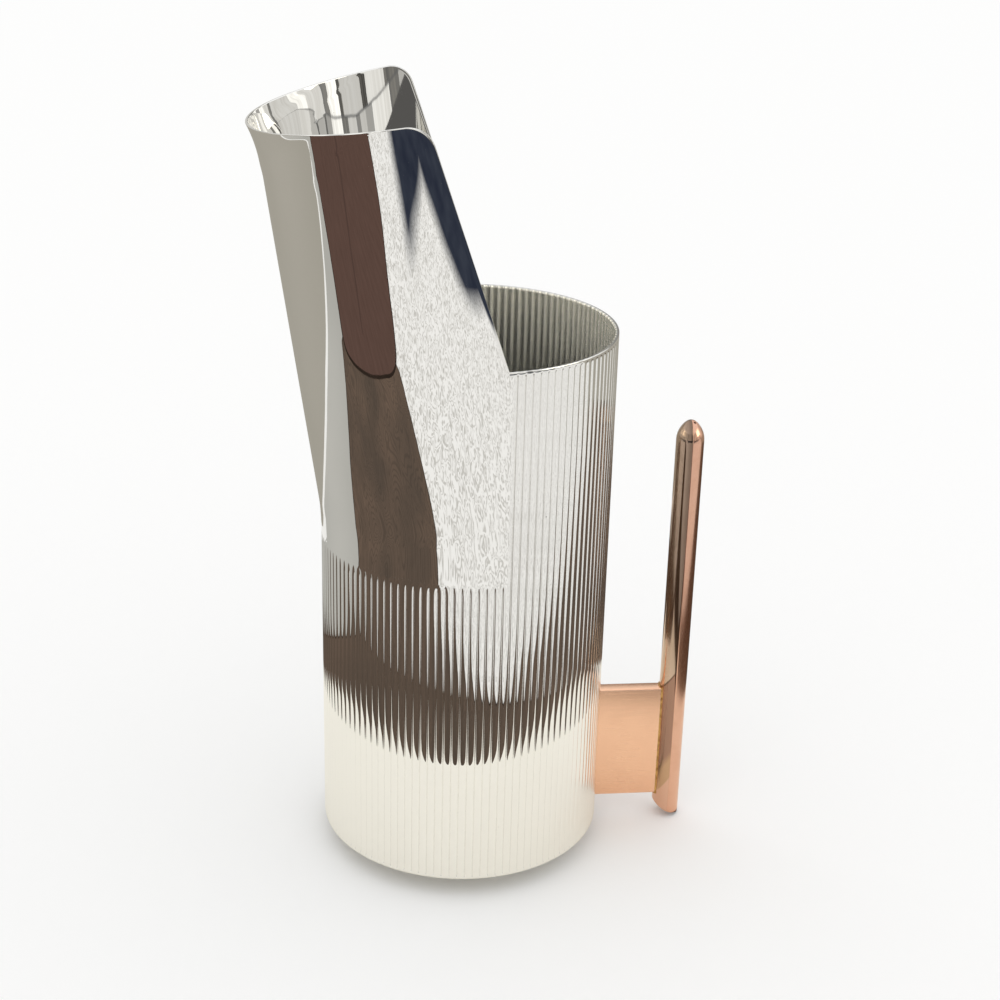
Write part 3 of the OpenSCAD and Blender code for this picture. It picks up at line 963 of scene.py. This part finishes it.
def painted_bracket_reflection(n, across, tall, plain, tint):
    """Painted reflection of the bracket on the inner grip half: a slanting gold band at the bracket's level
    with a browner core and a dark line along its top, pink copper below it, and the bright copper fading out
    above it.
    """
    level = n.minus(tall, n.range(across, *REFLECTED_BAR_ACROSS, 0.0, REFLECTED_BAR_RISE))
    above = n.step(level, BAR_LOW.z, REFLECTED_BAR_SOFT)
    bar_reflection_mask = n.times(n.minus(1.0, n.step(level, BAR_HIGH.z, REFLECTED_BAR_SOFT)), above)
    rim = n.range(n.maths("ABSOLUTE", n.minus(level, BAR_HIGH.z)), *REFLECTED_BAR_EDGE_WIDTH, 0.8, 0.0)
    brown = n.times(n.range(level, *REFLECTED_BAR_CORE), n.range(across, *REFLECTED_CORE_ACROSS))
    tint = n.mix(n.range(tall, *REFLECTED_BAR_FADE, 0.85, 0.0), tint, plain)
    tint = n.mix(bar_reflection_mask, tint, n.mix(brown, REFLECTED_BAR_GOLD, REFLECTED_BAR_BROWN))
    tint = n.mix(n.minus(1.0, above), tint, REFLECTED_PINK_BELOW)
    return n.mix(rim, tint, REFLECTED_BAR_EDGE)


def satin_copper(n):
    """Softly brushed copper of the bracket, darker toward its lower edge."""
    place = n.place()
    grain = n.noise(n.stretch(place, 60.0, 60.0, 2400.0), 1.0, 3.0, 0.65)
    marks = n.effect(MARKS, place, 0.6, 0.2)
    blotch = n.range(n.noise(place, 120.0, 3.0, 0.6), 0.4, 0.75, 0.0, 0.12)
    low = n.range(n.split(place)["Z"], BAR_LOW.z, BAR_LOW.z + 0.016, 0.12, 0.0)
    tint = n.mix(n.plus(blotch, low), bpy.context.scene.pitcher_finish.bar, BAR_SHADE)
    rough = n.plus(marks["Roughness"], n.range(grain, 0.3, 0.7, 0.0, 0.08))
    return metal(n, tint, rough, grain, 0.25, 0.00001)


def braze_metal(n):
    """Gold coloured braze with a slightly lumpy skin."""
    place = n.place()
    lumps = n.noise(place, 1500.0, 2.0, 0.6)
    burnt = n.range(n.noise(place, 420.0), 0.42, 0.68)
    tint = n.mix(burnt, bpy.context.scene.pitcher_finish.braze, BURNT_BRAZE)
    return metal(n, tint, n.range(lumps, 0.3, 0.7, 0.18, 0.38), lumps, 0.6, 0.00008)


def vent_painted_shade(n):
    """Painted shade inside the vent hole, dark and mottled."""
    shade_mottle = n.noise(n.place(), 2500.0)
    tint = n.mix(shade_mottle, (0.03, 0.018, 0.012), (0.07, 0.04, 0.025))
    return {"Base Color": tint, "Roughness": n.range(shade_mottle, 0.3, 0.7, 0.6, 0.9)}


def matt(n, tint):
    """A plain rough surface of the stage, from one colour or from a function that paints it."""
    return {"Roughness": 1.0, "Specular IOR Level": 0.0, "Base Color": tint(n) if callable(tint) else tint}


def glow(n, tint, strength):
    """A surface of the stage that shows its own colours whatever the light."""
    return {**matt(n, (0.0, 0.0, 0.0)), "Emission Color": tint(n), "Emission Strength": strength}


WOOD = (
    (-0.45, -0.08), (-0.4, -0.059), (-0.329, -0.022), (-0.304, -0.004), (-0.276, 0.006), (-0.235, 0.014),
    (-0.2, 0.05), (-0.15, 0.12), (-0.08, 0.2), (0.02, 0.27), (0.12, 0.32), (0.3, 0.34), (0.47, 0.25),
    (0.5, 0.05), (0.156, -0.163), (0.11, -0.165), (0.068, -0.165), (0.044, -0.18), (0.002, -0.205),
    (-0.06, -0.23), (-0.098, -0.245), (-0.116, -0.262), (-0.129, -0.278), (-0.155, -0.294),
    (-0.205, -0.326), (-0.25, -0.343), (-0.275, -0.349), (-0.4, -0.3),
)
BROWN = (
    (-0.425, -0.085), (-0.46, -0.087), (-0.52, -0.096), (-0.58, -0.101), (-0.65, -0.097), (-0.8, -0.1),
    (-1.6, -0.3), (-1.6, -1.46), (-0.73, -0.785), (-0.483, -0.6), (-0.405, -0.527), (-0.348, -0.44),
    (-0.305, -0.387), (-0.283, -0.352), (-0.29, -0.318), (-0.325, -0.262), (-0.362, -0.193), (-0.4, -0.118),
)
BROWN_FOLD = (
    (-0.4, -0.22), (-0.5, -0.268), (-0.62, -0.33), (-1.0, -0.53), (-1.5, -0.8), (-1.5, -0.78), (-1.0, -0.512),
    (-0.62, -0.316), (-0.5, -0.257), (-0.402, -0.212),
)
CARPET = (
    (0.068, -0.13), (0.0, -0.17), (-0.275, -0.3), (-0.5, -0.6), (-0.73, -0.785), (-1.6, -1.46), (-1.0, -2.6),
    (2.4, -2.6), (2.4, -0.6), (0.5, 0.05), (0.25, 0.0),
)
STRIP = (
    (-0.85, -0.05), (-0.68, -0.061), (-0.603, -0.06), (-0.494, -0.002), (-0.379, 0.101), (-0.244, 0.192),
    (-0.123, 0.253), (0.0, 0.295), (0.12, 0.31), (0.1, 0.2), (-0.05, 0.15), (-0.15, 0.08), (-0.22, 0.0),
    (-0.33, -0.06), (-0.43, -0.11), (-0.58, -0.13), (-0.72, -0.12),
)
STRIP_LINE = (
    (-0.7, -0.056), (-0.603, -0.055), (-0.494, 0.002), (-0.379, 0.105), (-0.244, 0.196), (-0.123, 0.257),
    (0.0, 0.299), (0.12, 0.314), (0.1, 0.25), (0.0, 0.284), (-0.12, 0.248), (-0.241, 0.185),
    (-0.374, 0.093), (-0.49, -0.011), (-0.602, -0.066), (-0.7, -0.066),
)
LEDGE = 0.19
LEDGE_TURN = 0.732
LEDGE_SLOPE = 0.8
LEDGE_LINE = (0.0015, 0.0045)
ROOM_RADIUS = 2.6
ROOM_HEIGHT = 1.5
ROOM_GLOW = 1.25
ROOM_UPPER = (
    (0.0, 0.5), (0.1, 0.08), (0.115, 0.7), (0.2, 0.95), (0.23, 0.45), (0.26, 0.95), (0.3, 0.5),
    (0.33, 0.95), (0.37, 0.35), (0.385, 0.95), (0.4, 0.06), (0.412, 0.62), (0.46, 0.75), (0.5, 0.58),
    (0.535, 0.1), (0.563, 0.66), (0.603, 0.035), (0.615, 0.5), (0.658, 0.06), (0.667, 1.0), (0.689, 0.16),
    (0.7, 0.62), (0.739, 0.97), (0.766, 0.56), (0.832, 0.16), (0.837, 0.6), (0.859, 0.97), (0.878, 0.3),
    (0.893, 0.9), (0.917, 0.2),
)
ROOM_LOWER = (
    (0.0, 0.4), (0.08, 0.62), (0.15, 0.5), (0.22, 0.7), (0.26, 0.5), (0.29, 0.2), (0.3, 0.62),
    (0.34, 0.9), (0.37, 0.5), (0.41, 0.14), (0.42, 0.55), (0.47, 0.66), (0.5, 0.4), (0.535, 0.12),
    (0.558, 0.72), (0.597, 0.3), (0.61, 0.48), (0.624, 0.2), (0.629, 0.52), (0.652, 0.12), (0.667, 0.9),
    (0.689, 0.3), (0.702, 0.1), (0.707, 0.38), (0.72, 0.12), (0.725, 0.42), (0.739, 0.62), (0.766, 0.54),
    (0.832, 0.2), (0.878, 0.4),
)
WINDOW_PLACE = (0.9, -0.4, 0.53)
WINDOW_SIZE = (0.56, 0.4)
WINDOW_TURN = math.radians(64.0)
WINDOW_GLOW = 3.0
NAVY_LOBES = (
    ((0.816, -0.579, 0.155, 0.035), (-0.921, -0.388, 0.446, 0.03)),
    ((0.594, -0.804, 0.625, 0.03), (0.0, -1.0, 0.66, 0.035)),
    ((0.0, -1.0, 1.62, 0.05), (1.0, 0.0, 0.02, 0.05)),
)
DARK_GRAIN = (0.06, 0.048, 0.038)


def circle(x, y, radius, widen=1.0):
    """Outline of a round board, or of one that is longer across the view."""
    turns = np.arange(72) * 2 * math.pi / 72
    return [(x + radius * widen * math.cos(a), y + radius * math.sin(a)) for a in turns]


def rounded(outline):
    """The same outline with its corners cut twice, which makes it a smooth curve."""
    points = np.array(outline)
    for _ in range(2):
        following = np.roll(points, -1, axis=0)
        points = np.stack([0.75 * points + 0.25 * following, 0.25 * points + 0.75 * following], axis=1)
        points = points.reshape(-1, 2)
    return points.tolist()


def widened(outline, amount):
    """The same outline moved outward, for the painted shadow line round a board."""
    points = np.array(outline)
    following = np.roll(points, -1, axis=0)
    along = following - np.roll(points, 1, axis=0)
    along /= np.linalg.norm(along, axis=1)[:, None]
    area = np.sum(points[:, 0] * following[:, 1] - following[:, 0] * points[:, 1])
    outward = np.stack([along[:, 1], -along[:, 0]], axis=1) * np.sign(area)
    return (points + outward * amount).tolist()


def unseen(piece):
    """Marks a piece of the stage that shows only in mirrors."""
    piece.visible_camera = False
    piece.visible_diffuse = False
    piece.visible_shadow = False


def clouds(scale, dark, light, detail=2.0, low=0.0, high=1.0):
    """A function that paints a surface with soft clouds between two colours."""
    return lambda n: n.mix(n.range(n.noise(n.place(), scale, detail), low, high), dark, light)


def lay_boards(look):
    """The flat boards round the pitcher that only the polished metal mirrors."""
    # shade paints the shadow lines along the edges of the wood and brown boards.
    shade = clouds(30.0, (0.02, 0.014, 0.01), (0.035, 0.024, 0.018))
    beige = clouds(1.2, (0.36, 0.34, 0.29), (0.42, 0.395, 0.345), 1.0, 0.3, 0.7)
    strip = clouds(3.0, (0.42, 0.415, 0.385), (0.52, 0.51, 0.475), 1.0, 0.3, 0.7)
    line = clouds(5.0, (0.85, 0.84, 0.81), (0.95, 0.945, 0.92))
    fold = clouds(20.0, (0.078, 0.047, 0.038), (0.088, 0.053, 0.043))
    for name, outline, height, tint in (
        ("beige", circle(0.0, 0.0, 3.0), 0.0006, beige),
        ("carpet", rounded(CARPET), 0.0008, carpet_colour),
        ("strip", rounded(STRIP), 0.0009, strip),
        ("strip_line", rounded(STRIP_LINE), 0.00095, line),
        ("wood_shadow_line", widened(rounded(WOOD), 0.0025), 0.0010, shade),
        ("wood", rounded(WOOD), 0.0011, wood_colour),
        ("brown_shadow_line", widened(rounded(BROWN), 0.0045), 0.0012, shade),
        ("brown", rounded(BROWN), 0.0013, brown_colour),
        ("brown_fold", rounded(BROWN_FOLD), 0.0014, fold),
        ("cloth", circle(0.008, 0.0, 0.135, 1.2), 0.0018, look.cloth),
    ):
        shape = Shape()
        shape.cap(shape.add([[(x, y, height) for x, y in outline]])[0])
        unseen(shape.build(f"mirror_{name}", new_material(f"Mirrored {name}", matt, tint)))


def screen(name, rows, material, closed=False):
    """A surface of the stage over rows of points."""
    shape = Shape()
    shape.skin(shape.add(rows), closed)
    return shape.build(name, material)


def raise_room():
    """A far upright ring of wall panels and one window, which the inside of the spout mirrors."""
    turns = np.arange(96) * 2 * math.pi / 96
    ring = [polar(ROOM_RADIUS, turns, z) for z in (0.0, ROOM_HEIGHT / 2, ROOM_HEIGHT)]
    walls = new_material("Mirrored room", glow, room_colour, ROOM_GLOW)
    unseen(screen("mirror_room", ring, walls, closed=True))
    along = np.array((math.cos(WINDOW_TURN), math.sin(WINDOW_TURN), 0.0)) * WINDOW_SIZE[0]
    up = np.array((0.0, 0.0, WINDOW_SIZE[1]))
    pane = [[WINDOW_PLACE + along * a + up * b for a in (-0.5, 0.5)] for b in (-0.5, 0.5)]
    daylight = clouds(6.0, (1.0, 0.93, 0.74), (1.0, 0.97, 0.86))
    unseen(screen("mirror_window", pane, new_material("Mirrored window", glow, daylight, WINDOW_GLOW)))


def panels(n, turn, stops):
    """Upright panels of different grey round the room."""
    ramp = n.add("ShaderNodeValToRGB", {"Fac": turn})
    band = ramp.color_ramp
    band.interpolation = "CONSTANT"
    while len(band.elements) > 1:
        band.elements.remove(band.elements[-1])
    for number, (place, grey) in enumerate(stops):
        stop = band.elements[0] if number == 0 else band.elements.new(place)
        stop.position = place
        stop.color = (grey, grey * 0.985, grey * 0.935, 1.0)
    return ramp.outputs[0]


def room_colour(n):
    """Wall panels over and under a sloping ledge, with streaks on them."""
    place = n.place()
    split = n.split(place)
    turn = n.maths("ARCTAN2", split["X"], n.times(split["Y"], -1.0))
    turn = n.range(turn, -math.pi, math.pi)
    turn = n.plus(turn, n.range(n.noise(place, 2.4), 0.0, 1.0, -0.005, 0.005))
    ledge = n.times(n.minus(turn, LEDGE_TURN), LEDGE_SLOPE)
    over = n.minus(split["Z"], n.plus(ledge, LEDGE))
    edge = n.range(n.maths("ABSOLUTE", over), *LEDGE_LINE, 0.7, 0.0)
    streaks = n.noise(n.stretch(place, 9.0, 9.0, 0.8), 1.0, 3.0, 0.6)
    tint = n.mix(n.maths("GREATER_THAN", over, 0.0), panels(n, turn, ROOM_LOWER), panels(n, turn, ROOM_UPPER))
    tint = n.mix(n.range(streaks, 0.4, 0.75, 0.0, 0.45), tint, (0.3, 0.28, 0.24))
    return n.mix(edge, tint, (0.1, 0.1, 0.1))


def wood_colour(n):
    """Dark wood with rings and fine grain."""
    place = n.place()
    relief = n.noise(n.stretch(place, 1.0, 1.8, 1.0), 9.0, 1.0, 0.5, 1.2)
    rings = n.maths("SINE", n.times(relief, 2 * math.pi * 22.0))
    fine = n.noise(n.stretch(place, 1.0, 3.0, 1.0), 140.0, 3.0, 0.6)
    tint = n.mix(n.range(n.noise(place, 9.0), 0.35, 0.65), (0.1, 0.075, 0.058), (0.152, 0.106, 0.078))
    tint = n.mix(n.range(rings, 0.1, 0.95, 0.0, 0.4), tint, DARK_GRAIN)
    return n.mix(n.range(fine, 0.45, 0.7, 0.0, 0.3), tint, DARK_GRAIN)


def brown_colour(n):
    """Plain brown with a faint grain."""
    grain = n.noise(n.stretch(n.place(), 1.0, 4.0, 1.0), 24.0, 3.0, 0.6)
    return n.mix(n.range(grain, 0.3, 0.7), (0.098, 0.058, 0.046), (0.118, 0.07, 0.056))


def beyond(n, x, y, east, north, edge, soft):
    """Soft mask of the floor on the far side of a straight line."""
    return n.step(n.plus(n.times(x, east), n.times(y, north)), edge, soft)


def carpet_colour(n):
    """Pale carpet with fine curved lines, two navy lobes and a grey patch far out."""
    place = n.place()
    relief = n.noise(n.stretch(place, 1.0, 0.8, 1.0), 78.0, 0.0, 0.4, 1.0)
    wave = n.maths("SINE", n.times(relief, 2 * math.pi * 3.2))
    tint = n.mix(n.range(wave, 0.0, 1.0, 0.0, 0.9), (0.93, 0.92, 0.895), (0.54, 0.525, 0.49))
    split = n.split(place)
    x = n.plus(split["X"], n.range(n.noise(place, 9.0, 1.0), 0.0, 1.0, -0.012, 0.012))
    y = split["Y"]
    left, right, far = [n.times(beyond(n, x, y, *one), beyond(n, x, y, *two)) for one, two in NAVY_LOBES]
    navy = n.maths("MAXIMUM", n.maths("MAXIMUM", left, right), far)
    blue = n.mix(n.range(n.noise(place, 14.0), 0.3, 0.7), (0.022, 0.027, 0.044), (0.04, 0.047, 0.066))
    return n.mix(navy, tint, n.mix(far, blue, (0.095, 0.092, 0.088)))


class PITCHER_OT_stage(bpy.types.Operator):
    """Sets up the floor, the soft light, the mirrored boards and the camera"""

    bl_idname = "pitcher.stage"
    bl_label = "Stage and camera"

    def execute(self, context):
        look = context.scene.pitcher_stage
        lay_floor(look)
        lay_boards(look)
        raise_room()
        set_light(look)
        set_camera(look)
        context.scene.cycles.max_bounces = 20
        context.scene.cycles.glossy_bounces = 16
        context.scene.view_settings.view_transform = "Standard"
        return {"FINISHED"}


def lay_floor(look):
    """The pale floor, large enough for every view."""
    ticks = np.linspace(-6.0, 6.0, 5)
    rows = [[(x, y, 0.0) for x in ticks] for y in ticks]
    screen("studio_floor", rows, new_material("Pale floor", matt, look.floor))


def set_light(look):
    """Even daylight from all sides, plain white wherever the camera or a mirror looks past the floor."""
    world = bpy.data.worlds.new("Even daylight")
    bpy.context.scene.world = world
    world.use_nodes = True
    world.node_tree.nodes.clear()
    n = Nodes(world.node_tree)
    path = n.add("ShaderNodeLightPath").outputs
    seen = n.maths("MAXIMUM", path["Is Camera Ray"], path["Is Glossy Ray"])
    seen = n.maths("MAXIMUM", seen, path["Is Transmission Ray"])
    strength = n.range(seen, 0.0, 1.0, look.sky, 1.0)
    back = n.add("ShaderNodeBackground", {"Color": (1.0, 1.0, 1.0), "Strength": strength})
    n.add("ShaderNodeOutputWorld", {"Surface": back.outputs[0]})


def set_camera(look):
    """The camera at the viewing angle of the photograph."""
    data = bpy.data.cameras.new("Picture camera")
    camera = new_object("Picture camera", data)
    data.lens = look.lens
    data.sensor_width = 36.0
    data.clip_start = 0.01
    data.clip_end = 50.0
    x = -look.distance * math.sin(look.around)
    y = -look.distance * math.cos(look.around)
    spot = Matrix.Translation((x, y, look.height))
    swing = Matrix.Rotation(-look.turn - look.around, 4, "Z")
    tilt = Matrix.Rotation(math.pi / 2 - look.tilt, 4, "X")
    roll = Matrix.Rotation(look.roll, 4, "Z")
    camera.matrix_world = spot @ swing @ tilt @ roll
    bpy.context.scene.camera = camera


class PITCHER_PT_panel(bpy.types.Panel):
    """Lists the pieces of the pitcher and their settings"""

    bl_label = "Fluted Pitcher"
    bl_idname = "PITCHER_PT_panel"
    bl_space_type = "VIEW_3D"
    bl_region_type = "UI"
    bl_category = "Pitcher"

    def draw(self, context):
        for operator in OPERATORS:
            self.layout.operator(operator.bl_idname)
        for name, group, label in GROUPS:
            box = self.layout.box()
            box.label(text=label)
            for key in group.__annotations__:
                box.prop(getattr(context.scene, name), key)


GROUPS = (
    ("pitcher_body", BodySizes, "Body"),
    ("pitcher_spout", SpoutSizes, "Spout"),
    ("pitcher_grip", GripSizes, "Grip"),
    ("pitcher_finish", Finishes, "Finish"),
    ("pitcher_stage", StageLook, "Stage"),
)
OPERATORS = (
    PITCHER_OT_fluted_body,
    PITCHER_OT_flared_spout,
    PITCHER_OT_base_and_foot,
    PITCHER_OT_bracket,
    PITCHER_OT_braze_seams,
    PITCHER_OT_split_grip,
    PITCHER_OT_stage,
)


def register():
    """Registers the settings, the operators and the panel."""
    for name, group, _ in GROUPS:
        bpy.utils.register_class(group)
        setattr(bpy.types.Scene, name, PointerProperty(type=group))
    for operator in OPERATORS:
        bpy.utils.register_class(operator)
    bpy.utils.register_class(PITCHER_PT_panel)


def unregister():
    """Takes the panel, the operators and the settings out again."""
    bpy.utils.unregister_class(PITCHER_PT_panel)
    for operator in reversed(OPERATORS):
        bpy.utils.unregister_class(operator)
    for name, group, _ in reversed(GROUPS):
        delattr(bpy.types.Scene, name)
        bpy.utils.unregister_class(group)


def main():
    """Builds every piece in order."""
    register()
    bpy.ops.pitcher.fluted_body()
    bpy.ops.pitcher.flared_spout()
    bpy.ops.pitcher.base_and_foot()
    bpy.ops.pitcher.bracket()
    bpy.ops.pitcher.braze_seams()
    bpy.ops.pitcher.split_grip()
    bpy.ops.pitcher.stage()


if __name__ == "__main__":
    main()
